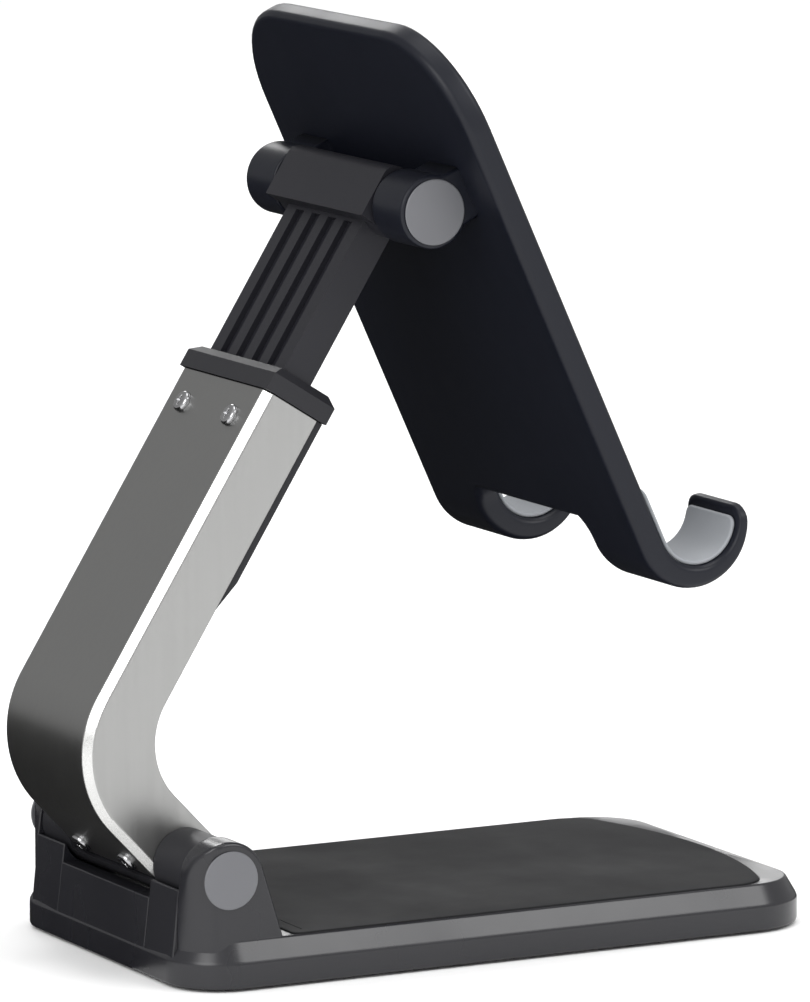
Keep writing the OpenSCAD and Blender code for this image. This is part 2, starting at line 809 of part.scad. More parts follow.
// The plate with its ears and hooks, one moulding.
module phone_plate() {
    color([0.1, 0.11, 0.14])
    along_plate()
    difference() {
        union() {
            upright(-plate_front + plate_edge_t, -plate_rear) plate_face();
            upright(-plate_front, -plate_front + plate_edge_t + eps) plate_face(plate_edge_in);
            both_sides() across(plate_w / 2 - hook_w, plate_w / 2) hook_side();
            both_sides() across(plate_ear_in, plate_ear_out) {
                circle(r = plate_ear_r);
                translate([-plate_rear - 1, -plate_web / 2]) square([plate_rear + 1, plate_web]);
            }
        }
        rod(-plate_w, plate_w, pin_r + 0.02);
        both_sides() rod(plate_ear_in + plate_ear_floor, plate_ear_out + 1, counterbore_r);
        // pocket of the front pad
        upright(-plate_front - 1, -plate_front + front_pad_t / 2) pad_face(0.1);
    }
}

// Face-on outline of the silicone pad on the plate's front, with an arched top.
module pad_face(grow = 0) {
    half = plate_w / 2 - front_pad_side + grow;
    top = plate_above - front_pad_above + grow;
    foot = -front_pad_foot - grow;
    r = front_pad_r + grow;
    translate([-half, foot]) square([2 * half, top - r - foot]);
    translate([-half + r, foot]) square([2 * (half - r), top - foot]);
    for (side = [-1, 1])
        translate([side * (half - r), top - r]) circle(r = r);
}

module plate_pad() {
    color([0.14, 0.14, 0.15])
    along_plate()
        upright(-plate_front - front_pad_t / 2, -plate_front + front_pad_t / 2) pad_face();
}

// Grey lining of one hook, on the +X side.
module hook_pad() {
    r_out = hook_inner_r - eps;
    r_in = hook_inner_r - hook_pad_t;
    reach = 2 * r_out;
    across(plate_w / 2 - hook_w + hook_pad_in, plate_w / 2 - hook_pad_in)
        translate([hook_inner_y, -plate_below]) {
            intersection() {
                difference() {
                    circle(r = r_out);
                    circle(r = r_in);
                }
                union() {
                    translate([-reach, -reach]) square([reach, reach - hook_pad_drop]);
                    translate([0, -reach]) square([reach, reach + eps]);
                }
            }
            translate([r_in, 0]) square([hook_pad_t - eps, hook_pad_up]);
        }
}

module hook_pad_right() {
    color([0.55, 0.56, 0.58])
    along_plate() hook_pad();
}

module hook_pad_left() {
    color([0.55, 0.56, 0.58])
    along_plate() mirror([1, 0, 0]) hook_pad();
}

module head_hinge_pin() {
    color([0.72, 0.72, 0.74])
    at_head_hinge() hinge_screw(plate_ear_in + plate_ear_floor);
}

module head_spring_washers() {
    color([0.62, 0.62, 0.64])
    at_head_hinge() washer_stack(plate_ear_in + plate_ear_floor);
}

module head_hinge_nut() {
    color([0.72, 0.72, 0.74])
    at_head_hinge() hex_nut(plate_ear_in + plate_ear_floor);
}

module head_cap_right() {
    color([0.42, 0.43, 0.44])
    at_head_hinge() hinge_cap(plate_ear_out, head_cap_r);
}

module head_cap_left() {
    color([0.42, 0.43, 0.44])
    at_head_hinge() mirror([1, 0, 0]) hinge_cap(plate_ear_out, head_cap_r);
}

base_shell();
base_bottom_plate();
base_weight();
base_top_pad();
base_foot_pad();
base_cover_screws();
base_hinge_pin();
base_hinge_nut();
base_spring_washers();
base_cap_left();
base_cap_right();
arm_sleeve();
arm_front_cover();
arm_collar();
collar_screws();
arm_hinge_barrel();
barrel_screws();
slider_bar();
slider_stop();
slider_stop_screws();
slider_spring();
phone_plate();
plate_pad();
hook_pad_left();
hook_pad_right();
head_hinge_pin();
head_hinge_nut();
head_spring_washers();
head_cap_left();
head_cap_right();
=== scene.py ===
import json
import math

import bmesh
import bpy
from mathutils import Matrix, Vector


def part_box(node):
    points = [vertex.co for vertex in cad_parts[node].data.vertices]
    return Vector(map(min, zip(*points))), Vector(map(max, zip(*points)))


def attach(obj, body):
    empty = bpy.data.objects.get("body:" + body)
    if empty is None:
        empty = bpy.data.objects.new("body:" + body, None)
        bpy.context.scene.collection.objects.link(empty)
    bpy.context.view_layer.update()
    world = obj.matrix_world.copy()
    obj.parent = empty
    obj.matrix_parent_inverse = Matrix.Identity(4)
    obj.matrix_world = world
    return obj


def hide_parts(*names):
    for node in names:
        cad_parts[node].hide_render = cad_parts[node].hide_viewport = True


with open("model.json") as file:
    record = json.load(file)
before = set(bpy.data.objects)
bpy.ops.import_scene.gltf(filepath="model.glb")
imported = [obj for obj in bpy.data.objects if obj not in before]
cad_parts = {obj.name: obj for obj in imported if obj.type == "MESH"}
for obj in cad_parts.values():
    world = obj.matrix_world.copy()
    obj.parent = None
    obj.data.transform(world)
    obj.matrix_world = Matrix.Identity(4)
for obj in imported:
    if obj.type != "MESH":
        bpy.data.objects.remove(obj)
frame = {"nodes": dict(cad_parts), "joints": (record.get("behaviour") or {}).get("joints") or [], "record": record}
bpy.context.view_layer.update()

# Looks of the folding phone stand. The stand's own lengths are in millimetres until a mesh is
# made. The camera, the lamps and the studio's sheets are in metres.
MM = 0.001
scene = bpy.context.scene

# ---- What the frame says ---------------------------------------------------

joints = {joint["name"]: joint for joint in frame["joints"]}
hinge = Vector(joints["base_hinge"]["pos_m"])
head = Vector(joints["head_tilt"]["pos_m"])
slide_axis = Vector(joints["arm_slide"]["axis"])

UPPER_LEAN = math.atan2(-slide_axis.y, slide_axis.z)
LOWER_LEAN = math.radians(43.6)
PLATE_LEAN = math.radians(24.8)

upper_arm = Matrix.Translation(hinge) @ Matrix.Rotation(UPPER_LEAN, 4, "X")
lower_arm = Matrix.Translation(hinge) @ Matrix.Rotation(-LOWER_LEAN, 4, "X")
plate_frame = Matrix.Translation(head) @ Matrix.Rotation(-PLATE_LEAN, 4, "X")
base_frame = Matrix.Identity(4)
hinge_frame = Matrix.Translation(hinge)


def size_mm(node):
    """Lowest and highest corners of a CAD node, in millimetres."""
    low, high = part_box(node)
    return low / MM, high / MM


# ---- Camera ----------------------------------------------------------------

def make_camera():
    """The photograph's view: a long lens from behind, a little above the stand."""
    azimuth, elevation = math.radians(242.116), math.radians(9.004)
    distance = 1.38757
    aim = Vector((0, 0.001, 0.075))
    aside, below = 0.000955, 0.001799
    back = Vector((
        math.sin(azimuth) * math.cos(elevation),
        -math.cos(azimuth) * math.cos(elevation),
        math.sin(elevation),
    ))
    right = (-back).cross(Vector((0, 0, 1))).normalized()
    up = right.cross(-back)
    place = aim + back * distance - right * aside - up * below
    data = bpy.data.cameras.new("camera")
    data.sensor_fit = "VERTICAL"
    data.sensor_height = 36
    data.lens = 294.31
    data.clip_end = 50
    camera = bpy.data.objects.new("camera", data)
    camera.matrix_world = Matrix((
        (right.x, up.x, back.x, place.x),
        (right.y, up.y, back.y, place.y),
        (right.z, up.z, back.z, place.z),
        (0, 0, 0, 1),
    ))
    scene.collection.objects.link(camera)
    scene.camera = camera


make_camera()

# ---- Mesh helpers ----------------------------------------------------------

def new_piece(name, place, points, faces, closed=True):
    """A smooth-shaded mesh from points in millimetres, in the frame that place gives."""
    mesh = bpy.data.meshes.new(name)
    mesh.from_pydata([place @ (Vector(p) * MM) for p in points], [], faces)
    mesh.validate()
    if closed:
        bm = bmesh.new()
        bm.from_mesh(mesh)
        bmesh.ops.recalc_face_normals(bm, faces=bm.faces)
        bm.to_mesh(mesh)
        bm.free()
    for polygon in mesh.polygons:
        polygon.use_smooth = True
    piece = bpy.data.objects.new(name, mesh)
    scene.collection.objects.link(piece)
    return piece


def skin_faces(count, rings):
    """The first end and the sides of a skin over rings of count points each."""
    faces = [list(range(count))]
    for i in range(rings - 1):
        for j in range(count):
            k = (j + 1) % count
            faces.append([i * count + j, i * count + k, (i + 1) * count + k, (i + 1) * count + j])
    return faces


def loft(name, place, rings):
    """A closed skin over rings with equal numbers of points, with a flat face at each end."""
    count = len(rings[0])
    points = [p for ring in rings for p in ring]
    faces = skin_faces(count, len(rings))
    last = (len(rings) - 1) * count
    faces.append(list(range(last, last + count)))
    return new_piece(name, place, points, faces)


def round_edges(piece, width, segments=3, angle=35):
    """Rounds every edge sharper than angle, in degrees, and evens the shading."""
    bevel = piece.modifiers.new("rounded_edges", "BEVEL")
    bevel.width = width * MM
    bevel.segments = segments
    bevel.limit_method = "ANGLE"
    bevel.angle_limit = math.radians(angle)
    bevel.use_clamp_overlap = True
    normals = piece.modifiers.new("even_normals", "WEIGHTED_NORMAL")
    normals.keep_sharp = True


def bake(piece):
    """Turns a piece's modifiers into plain mesh."""
    bpy.context.view_layer.update()
    seen = piece.evaluated_get(bpy.context.evaluated_depsgraph_get())
    mesh = bpy.data.meshes.new_from_object(seen)
    piece.modifiers.clear()
    piece.data = mesh
    return piece


def join(name, parts):
    """One piece from several, with their modifiers applied."""
    bm = bmesh.new()
    for part in parts:
        bake(part)
        bm.from_mesh(part.data)
        bpy.data.objects.remove(part)
    mesh = bpy.data.meshes.new(name)
    bm.to_mesh(mesh)
    bm.free()
    for polygon in mesh.polygons:
        polygon.use_smooth = True
    piece = bpy.data.objects.new(name, mesh)
    scene.collection.objects.link(piece)
    normals = piece.modifiers.new("even_normals", "WEIGHTED_NORMAL")
    normals.keep_sharp = True
    return piece


def arc(centre, radius, start, end, steps):
    """Points on an arc, angles in degrees."""
    return [
        (
            centre[0] + radius * math.cos(math.radians(start + (end - start) * i / steps)),
            centre[1] + radius * math.sin(math.radians(start + (end - start) * i / steps)),
        )
        for i in range(steps + 1)
    ]


def rounding(radius, steps=4):
    """(inset, depth) pairs of a quarter-round edge, from the flat face down to the side."""
    return [
        (radius * (1 - math.sin(a)), radius * (1 - math.cos(a)))
        for a in (math.pi / 2 * i / steps for i in range(steps + 1))
    ]


def open_loop(faces):
    """Vertex numbers round the rim of a one-piece sheet, in the order of its faces."""
    sides = {(f[i], f[(i + 1) % len(f)]) for f in faces for i in range(len(f))}
    following = {a: b for a, b in sides if (b, a) not in sides}
    start = min(following)
    loop = [start]
    while following[loop[-1]] != start:
        loop.append(following[loop[-1]])
    return loop


def thick_sheet(name, place, flat, faces, thickness, edge, bend):
    """A sheet cut from the flat outline, with a rounded rim, then bent.

    flat holds (across, along) points that lie edge inside the real outline, with faces wound
    anticlockwise. bend maps (across, along, depth) to a point of the frame that place gives.
    """
    loop = open_loop(faces)
    outward = []
    for i, v in enumerate(loop):
        before = Vector(flat[v]) - Vector(flat[loop[i - 1]])
        after = Vector(flat[loop[(i + 1) % len(loop)]]) - Vector(flat[v])
        heading = (before.normalized() + after.normalized()).normalized()
        outward.append(Vector((heading.y, -heading.x)))
    quarter = [math.radians(22.5 * i) for i in range(1, 5)]
    profile = [(edge * math.sin(a), edge * (1 - math.cos(a))) for a in quarter]
    profile += [(out, thickness - depth) for out, depth in reversed(profile)]
    points = [bend(u, v, 0) for u, v in flat] + [bend(u, v, thickness) for u, v in flat]
    count = len(flat)
    skins = list(faces) + [[v + count for v in reversed(face)] for face in faces]
    previous = loop
    for out, depth in profile:
        ring = []
        for v, away in zip(loop, outward):
            spot = Vector(flat[v]) + away * out
            ring.append(len(points))
            points.append(bend(spot.x, spot.y, depth))
        skins += band(previous, ring)
        previous = ring
    skins += band(previous, [v + count for v in loop])
    return new_piece(name, place, points, skins)


def band(first, second):
    """Faces between two rings of vertex numbers."""
    n = len(first)
    return [[first[i], first[(i + 1) % n], second[(i + 1) % n], second[i]] for i in range(n)]


def grid_faces(rows, width, skip=lambda row, column: False):
    """Faces of a grid of points: width points to a row."""
    return [
        [i * width + j, i * width + j + 1, (i + 1) * width + j + 1, (i + 1) * width + j]
        for i in range(rows - 1)
        for j in range(width - 1)
        if not skip(i, j)
    ]


# ---- Base ------------------------------------------------------------------

BASE_W = size_mm("base_shell")[1].x * 2
BASE_L = size_mm("base_shell")[1].y * 2
FRONT_CORNER_R = 12
REAR_CORNER_R = 10
SHELL_FOOT = size_mm("base_shell")[0].z
BEVEL_Z = 4.8
BASE_TOP = 8.2
BEVEL_IN = 2
HINGE_Y, HINGE_Z = hinge.y / MM, hinge.z / MM
CAP_PROUD = 0.4
EAR_OUTER = size_mm("base_cap_right")[1].x - CAP_PROUD
EAR_W = 6.1
EAR_INNER = EAR_OUTER - EAR_W
EAR_R = 6.3
EAR_FRONT = 9.8
SADDLE_R = 6.4


def base_plan(inset):
    """Plan of the base, moved in by inset."""
    half_w, half_l = BASE_W / 2 - inset, BASE_L / 2 - inset
    front_r, rear_r = FRONT_CORNER_R - inset, REAR_CORNER_R - inset
    return (
        arc((half_w - rear_r, half_l - rear_r), rear_r, 0, 90, 12)
        + arc((-half_w + rear_r, half_l - rear_r), rear_r, 90, 180, 12)
        + arc((-half_w + front_r, -half_l + front_r), front_r, 180, 270, 12)
        + arc((half_w - front_r, -half_l + front_r), front_r, 270, 360, 12)
    )


PAD_HALF = size_mm("base_top_pad")[1].x
PAD_REAR = size_mm("base_top_pad")[1].y
PAD_TOP = size_mm("base_top_pad")[1].z
PAD_FOOT = size_mm("base_top_pad")[0].z
PAD_ARC_R = 80
PAD_CORNER_R = 7
PAD_REAR_R = 1.2
PAD_PLAY = 0.22
POCKET_DEPTH = 0.5
PAD_FRONT = -BASE_L / 2 + 3.6


def top_pad_plan(inset):
    """Plan of the base's silicone pad: a bowed front edge that runs into round corners."""
    half, rear = PAD_HALF - inset, PAD_REAR - inset
    bow_r, corner_r, rear_r = PAD_ARC_R - inset, PAD_CORNER_R - inset, PAD_REAR_R - inset * 0.5
    bow_y = PAD_FRONT + PAD_ARC_R
    corner_x = half - corner_r
    corner_y = bow_y - math.sqrt((bow_r - corner_r) ** 2 - corner_x ** 2)
    lean = math.degrees(math.asin(corner_x / (bow_r - corner_r)))
    return (
        arc((0, bow_y), bow_r, 270 - lean, 270 + lean, 28)[1:-1]
        + arc((corner_x, corner_y), corner_r, 270 + lean, 360, 8)
        + arc((half - rear_r, rear - rear_r), rear_r, 0, 90, 4)
        + arc((-half + rear_r, rear - rear_r), rear_r, 90, 180, 4)
        + arc((-corner_x, corner_y), corner_r, 180, 270 - lean, 8)
    )


def at_height(outline, z):
    return [(x, y, z) for x, y in outline]


def base_body():
    """Wall, bevel and flat top of the base, with the shallow pocket that holds the pad."""
    lip, edge = 0.35, 0.3
    slope = BEVEL_IN / (BASE_TOP - BEVEL_Z)
    rings = [
        (0.5, SHELL_FOOT), (0.12, SHELL_FOOT + 0.12), (0, SHELL_FOOT + 0.5), (0, BEVEL_Z - lip),
        (0.03, BEVEL_Z - 0.1), (slope * lip, BEVEL_Z + lip),
        (BEVEL_IN - slope * edge, BASE_TOP - edge), (BEVEL_IN + 0.02, BASE_TOP - 0.07),
        (BEVEL_IN + edge, BASE_TOP),
    ]
    outlines = [at_height(base_plan(inset), z) for inset, z in rings]
    points = [p for outline in outlines for p in outline]
    faces = skin_faces(len(outlines[0]), len(outlines))
    pocket = top_pad_plan(-PAD_PLAY)
    start = len(points)
    points += at_height(pocket, BASE_TOP) + at_height(pocket, BASE_TOP - POCKET_DEPTH)
    n = len(pocket)
    for j in range(n):
        k = (j + 1) % n
        faces.append([start + j, start + k, start + n + k, start + n + j])
    faces.append([start + n + j for j in range(n)])
    piece = new_piece("base_body", base_frame, points, faces)
    bm = bmesh.new()
    bm.from_mesh(piece.data)
    open_edges = [e for e in bm.edges if len(e.link_faces) == 1]
    bmesh.ops.triangle_fill(bm, use_beauty=True, use_dissolve=False, edges=open_edges)
    bmesh.ops.recalc_face_normals(bm, faces=bm.faces)
    for face in bm.faces:
        face.smooth = True
    bm.to_mesh(piece.data)
    bm.free()
    return piece


def rear_limit(x, corner_r):
    """How far back the base reaches at x, from the hinge axis, inside a round rear corner."""
    corner_x = BASE_W / 2 - REAR_CORNER_R
    along = max(0, abs(x) - corner_x)
    return BASE_L / 2 - REAR_CORNER_R + math.sqrt(corner_r ** 2 - along ** 2) - HINGE_Y


def touch_angle(foot, radius, side):
    """Direction, in degrees, of the point where a line from foot touches the circle."""
    reach = math.hypot(*foot)
    return math.degrees(math.atan2(foot[1], foot[0]) + side * math.acos(radius / reach))


REAR_FOOT = (BASE_L / 2 - HINGE_Y, BEVEL_Z - HINGE_Z)
FRONT_FOOT = (-EAR_FRONT, BASE_TOP - HINGE_Z)


def ear_ring(x, inset):
    """Side outline of a hinge ear at x, drawn round the hinge axis."""
    radius = EAR_R - inset
    rear = (REAR_FOOT[0] - inset, REAR_FOOT[1])
    front = (FRONT_FOOT[0] + inset, FRONT_FOOT[1])
    start = touch_angle(rear, radius, 1)
    end = touch_angle(front, radius, -1) + 360
    top = arc((0, 0), radius, start, end, 36)
    steps = 16
    slope = [
        (
            rear[0] + (top[0][0] - rear[0]) * i / steps,
            rear[1] + (top[0][1] - rear[1]) * i / steps,
        )
        for i in range(steps)
    ]
    outline = slope + top + [front, (front[0], rear[1])]
    limit = rear_limit(x, REAR_CORNER_R - 1) - inset
    return [(x, min(y, limit), z) for y, z in outline]


def hinge_ear(side):
    """One hinge ear with soft edges, its rear corner rounded like the base."""
    inner_edge, outer_edge = 0.3, 0.7
    soft = rounding(outer_edge)
    rings = [ear_ring(side * (EAR_INNER + depth), inset) for inset, depth in rounding(inner_edge, 3)]
    inside, outside = EAR_INNER + inner_edge, EAR_OUTER - outer_edge
    steps = 8
    rings += [
        ear_ring(side * (inside + (outside - inside) * i / steps), 0) for i in range(1, steps)
    ]
    rings += [ear_ring(side * (EAR_OUTER - depth), inset) for inset, depth in reversed(soft)]
    return loft("ear", hinge_frame, rings)


def saddle_wall(start, end, top_z):
    """Stretch of the low wall that cradles the arm's barrel."""
    top = top_z - HINGE_Z
    lean = math.tan(math.radians(touch_angle(REAR_FOOT, EAR_R, 1)))
    rear_top = (REAR_FOOT[0] - lean * (top - REAR_FOOT[1]), top)
    cut_start = math.degrees(math.asin(top / SADDLE_R))
    cut_end = -151
    outline = [REAR_FOOT, rear_top] + arc((0, 0), SADDLE_R, cut_start, cut_end, 16)
    outline += [FRONT_FOOT, (FRONT_FOOT[0], REAR_FOOT[1])]
    rings = []
    for x in (start, end):
        limit = rear_limit(x, REAR_CORNER_R - 0.1)
        rings.append([(x, min(y, limit), z) for y, z in outline])
    piece = loft("wall", hinge_frame, rings)
    round_edges(piece, 0.25, 2, 40)
    return piece


def make_base_housing():
    notch, side_top, notch_foot, overlap = 16.6, 16.4, 13.4, 0.05
    end = EAR_INNER + 0.1
    parts = [base_body(), hinge_ear(1), hinge_ear(-1)]
    parts.append(saddle_wall(-end, -notch, side_top))
    parts.append(saddle_wall(notch, end, side_top))
    parts.append(saddle_wall(-notch - overlap, notch + overlap, notch_foot))
    piece = join("base_housing", parts)
    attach(piece, "base")
    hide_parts("base_shell")
    return piece


def slab(name, place, plan, foot, top, edge):
    """A flat pad: straight sides, a rounded upper edge and a rim of narrow faces inside it."""
    rings = [at_height(plan(edge * 0.5), foot), at_height(plan(0), foot + edge * 0.5)]
    rings += [at_height(plan(inset), top - depth) for inset, depth in reversed(rounding(edge))]
    rim = 2.5
    for share in (0.25, 0.5, 0.75, 1):
        rings.append(at_height(plan(edge + rim * share), top))
    return loft(name, place, rings)


def make_top_pad():
    piece = slab("top_pad", base_frame, top_pad_plan, PAD_FOOT + 0.12, PAD_TOP, 0.22)
    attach(piece, "base")
    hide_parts("base_top_pad")
    return piece


def make_foot_pad():
    low, high = size_mm("base_foot_pad")
    inset = (BASE_W / 2) - high.x
    flipped = Matrix.Translation((0, 0, high.z * MM)) @ Matrix.Scale(-1, 4, (0, 0, 1))
    piece = slab("foot_pad", flipped, lambda more: base_plan(inset + more), low.z, high.z, 0.3)
    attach(piece, "base")
    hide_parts("base_foot_pad")
    return piece


# ---- Arm -------------------------------------------------------------------

SLEEVE_W = size_mm("arm_sleeve")[1].x * 2
SHEET = 1.2
UPPER_REAR, UPPER_FRONT = 28.25, 17.15
LOWER_REAR, LOWER_FRONT = 5.2, -6.6
REAR_BEND_R, FRONT_BEND_R = 18.5, 12.8
SLEEVE_TOP = 74.5
SLEEVE_FOOT_REAR, SLEEVE_FOOT_FRONT = 1.6, -3
SLEEVE_CHAMFER = 1.5


def bent_face(upper, lower, radius, top, foot):
    """One face of the bent arm in the side view, from its top round the bend to its foot."""
    steps = 24
    upper_n = Vector((math.cos(UPPER_LEAN), math.sin(UPPER_LEAN)))
    upper_u = Vector((-math.sin(UPPER_LEAN), math.cos(UPPER_LEAN)))
    lower_n = Vector((math.cos(LOWER_LEAN), -math.sin(LOWER_LEAN)))
    lower_u = Vector((math.sin(LOWER_LEAN), math.cos(LOWER_LEAN)))
    a, b = upper - radius, lower - radius
    across = upper_n.x * lower_n.y - upper_n.y * lower_n.x
    centre = Vector((a * lower_n.y - b * upper_n.y, b * upper_n.x - a * lower_n.x)) / across
    bend = []
    for i in range(steps + 1):
        turn = UPPER_LEAN - (UPPER_LEAN + LOWER_LEAN) * i / steps
        bend.append(centre + radius * Vector((math.cos(turn), math.sin(turn))))
    return [upper * upper_n + top * upper_u] + bend + [lower * lower_n + foot * lower_u]


def sleeve_section(front, rear):
    """Channel section between a front point and a rear point of the side view."""
    depth = (rear - front).length
    along = (rear - front) / depth
    half, cut = SLEEVE_W / 2, SLEEVE_CHAMFER
    outline = [(half, 0), (half, depth * 0.35), (half, depth - cut), (half - cut, depth)]
    outline += [(-x, q) for x, q in reversed(outline)]
    return [(x, front.x + along.x * q, front.y + along.y * q) for x, q in outline]


def make_sleeve():
    rear = bent_face(UPPER_REAR, LOWER_REAR, REAR_BEND_R, SLEEVE_TOP, SLEEVE_FOOT_REAR)
    front = bent_face(UPPER_FRONT, LOWER_FRONT, FRONT_BEND_R, SLEEVE_TOP, SLEEVE_FOOT_FRONT)
    rows = [sleeve_section(f, r) for f, r in zip(front, rear)]
    count = len(rows[0])
    points = [p for row in rows for p in row]
    faces = [
        [i * count + j + 1, i * count + j, (i + 1) * count + j, (i + 1) * count + j + 1]
        for i in range(len(rows) - 1)
        for j in range(count - 1)
    ]
    piece = new_piece("sleeve", hinge_frame, points, faces, closed=False)
    skin = piece.modifiers.new("sheet", "SOLIDIFY")
    skin.thickness = SHEET * MM
    skin.offset = -1
    skin.use_even_offset = True
    round_edges(piece, 0.2)
    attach(bake(piece), "arm")
    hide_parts("arm_sleeve")
    return piece


SCREW_X = 8.8
SCREW_R = 1.9
SCREW_HEAD = 0.9
SHANK_R = 1
TOP_SCREW_DROP = 5.9
FOOT_SCREW_UP = 4.6
TOP_SCREW_L, FOOT_SCREW_L = 1.8, 3
RING_ANGLES = [math.tau * i / 48 for i in range(48)]


def round_ring(radius, z):
    return [(radius * math.cos(a), radius * math.sin(a), z) for a in RING_ANGLES]


def cross_ring(radius, z):
    """Outline of a cross recess with soft corners."""
    reach = [radius * (0.34 + 0.66 * abs(math.cos(2 * a)) ** 5) for a in RING_ANGLES]
    return [(r * math.cos(a), r * math.sin(a), z) for r, a in zip(reach, RING_ANGLES)]


def pan_screw(place, length):
    """A pan-head screw with a cross recess. Its head sits on z = 0 and points along +z."""
    rim = 0.6
    foot = [round_ring(SHANK_R, -length), round_ring(SHANK_R, 0), round_ring(SCREW_R, 0)]
    dome = [
        round_ring(SCREW_R - rim + rim * math.cos(a), SCREW_HEAD - rim + rim * math.sin(a))
        for a in [math.radians(15 * i) for i in range(7)]
    ]
    recess = [
        cross_ring(radius, SCREW_HEAD - depth)
        for radius, depth in ((1.05, 0), (0.95, 0.12), (0.75, 0.5))
    ]
    piece = loft("screw", place, foot + dome + recess)
    round_edges(piece, 0.05, 2, 40)
    return piece


def make_screws(name, node, arm_frame, rear, up, length):
    """The pair of screws at one end of the sleeve."""
    outward = Matrix.Rotation(math.radians(-90), 4, "X")
    screws = []
    for side in (-1, 1):
        seat = Matrix.Translation(Vector((side * SCREW_X, rear, up)) * MM)
        screws.append(pan_screw(arm_frame @ seat @ outward, length))
    piece = join(name, screws)
    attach(piece, "arm")
    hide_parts(node)
    return piece


def make_top_screws():
    up = SLEEVE_TOP - TOP_SCREW_DROP
    return make_screws("top_screws", "collar_screws", upper_arm, UPPER_REAR, up, TOP_SCREW_L)


def make_foot_screws():
    up = FOOT_SCREW_UP
    return make_screws("foot_screws", "barrel_screws", lower_arm, LOWER_REAR, up, FOOT_SCREW_L)


# ---- Phone plate -----------------------------------------------------------

PLATE_W = size_mm("phone_plate")[1].x * 2
PLATE_ABOVE, PLATE_BELOW = 28.75, 68.2
PLATE_REAR = 7
PLATE_T = 4.5
SHOULDER_R = 18
HOOK_W = 18
HOOK_INNER_R, HOOK_OUTER_R = 7.4, 10.6
HOOK_OUTER_Y = -(PLATE_REAR + HOOK_OUTER_R)
HOOK_INNER_Y = -(PLATE_REAR + PLATE_T + HOOK_INNER_R)
HOOK_TIP_DROP = 1.5
LINING_DROP = 2.8
TIP_R = 3.2
NOTCH_TOP, NOTCH_R = 63, 5
EAR_IN, EAR_OUT, PLATE_EAR_R, WEB = 18, 28.4, 6.2, 9.4
LINING_STRAIGHT = 10
LINING_GAP = 0.03


def on_circle(y, radius, turn):
    """Point on one of the hook's circles, a turn away from the plate."""
    return Vector((y + radius * math.cos(turn), -PLATE_BELOW - radius * math.sin(turn)))


def plate_bend(x, down, depth):
    """Bends the flat sheet: down from the plate's top, depth below its rear face."""
    length = PLATE_ABOVE + PLATE_BELOW
    if down < length:
        return x, -PLATE_REAR - depth, PLATE_ABOVE - down
    turn = (down - length) / HOOK_OUTER_R
    outer = on_circle(HOOK_OUTER_Y, HOOK_OUTER_R, turn)
    inner = on_circle(HOOK_INNER_Y, HOOK_INNER_R, turn)
    return x, *outer.lerp(inner, depth / PLATE_T)


def plate_rows(edge):
    """Rows of the unbent sheet: (down from the top, half width, half gap, middle joined)."""
    half, gap_half = PLATE_W / 2, PLATE_W / 2 - HOOK_W
    gap_top = gap_half - NOTCH_R
    notch = PLATE_ABOVE + NOTCH_TOP
    rows = [
        (y, x, gap_top, True)
        for x, y in arc((half - SHOULDER_R, SHOULDER_R), SHOULDER_R - edge, -90, 0, 14)
    ]
    for share in (0.2, 0.4, 0.6, 0.8):
        rows.append((SHOULDER_R + (notch - SHOULDER_R) * share, half - edge, gap_top, True))
    for x, y in arc((gap_top, notch + NOTCH_R), NOTCH_R + edge, -90, 0, 8):
        rows.append((y, half - edge, x, y < notch))
    straight = PLATE_ABOVE + PLATE_BELOW
    end = straight + HOOK_OUTER_R * (math.pi - math.asin(HOOK_TIP_DROP / HOOK_OUTER_R))
    steps = 26
    first, last = straight + 0.8, end - TIP_R
    for i in range(steps + 1):
        rows.append((first + (last - first) * i / steps, half - edge, gap_half + edge, False))
    for x, y in arc((0, 0), TIP_R - edge, 0, 90, 5)[1:]:
        rows.append((end - TIP_R + y, half - TIP_R + x, gap_half + TIP_R - x, False))
    return rows


def plate_sheet():
    """The plate and its two J hooks: one sheet, cut, rounded and bent."""
    edge, strip, middle = 1.3, 6, 8
    flat = []
    rows = plate_rows(edge)
    for down, half, gap, _ in rows:
        left = [-half + (half - gap) * i / strip for i in range(strip + 1)]
        inner = [-gap + 2 * gap * i / middle for i in range(1, middle)]
        flat += [(x, down) for x in left + inner + [-x for x in reversed(left)]]
    width = 2 * (strip + 1) + middle - 1

    def in_gap(row, column):
        return not rows[row + 1][3] and strip <= column < strip + middle

    faces = grid_faces(len(rows), width, in_gap)
    used = sorted({v for face in faces for v in face})
    number = {v: i for i, v in enumerate(used)}
    faces = [[number[v] for v in face] for face in faces]
    return thick_sheet("sheet", plate_frame, [flat[v] for v in used], faces, PLATE_T, edge, plate_bend)


def plate_ear(side):
    """Round ear that carries the plate's hinge, with its web."""
    root = -PLATE_REAR - 1
    slices = [(inset, EAR_IN + depth) for inset, depth in rounding(0.4, 3)]
    slices += [(inset, EAR_OUT - depth) for inset, depth in reversed(rounding(0.6))]
    rings = []
    for inset, x in slices:
        r = PLATE_EAR_R - inset
        web = WEB / 2 - inset
        start = math.degrees(math.asin(web / r))
        outline = [(root, -web)] + arc((0, 0), r, -180 + start, 180 - start, 40) + [(root, web)]
        rings.append([(side * x, y, z) for y, z in outline])
    return loft("plate_ear", plate_frame, rings)


def make_plate():
    piece = join("plate", [plate_sheet(), plate_ear(1), plate_ear(-1)])
    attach(piece, "head")
    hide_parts("phone_plate")
    return piece


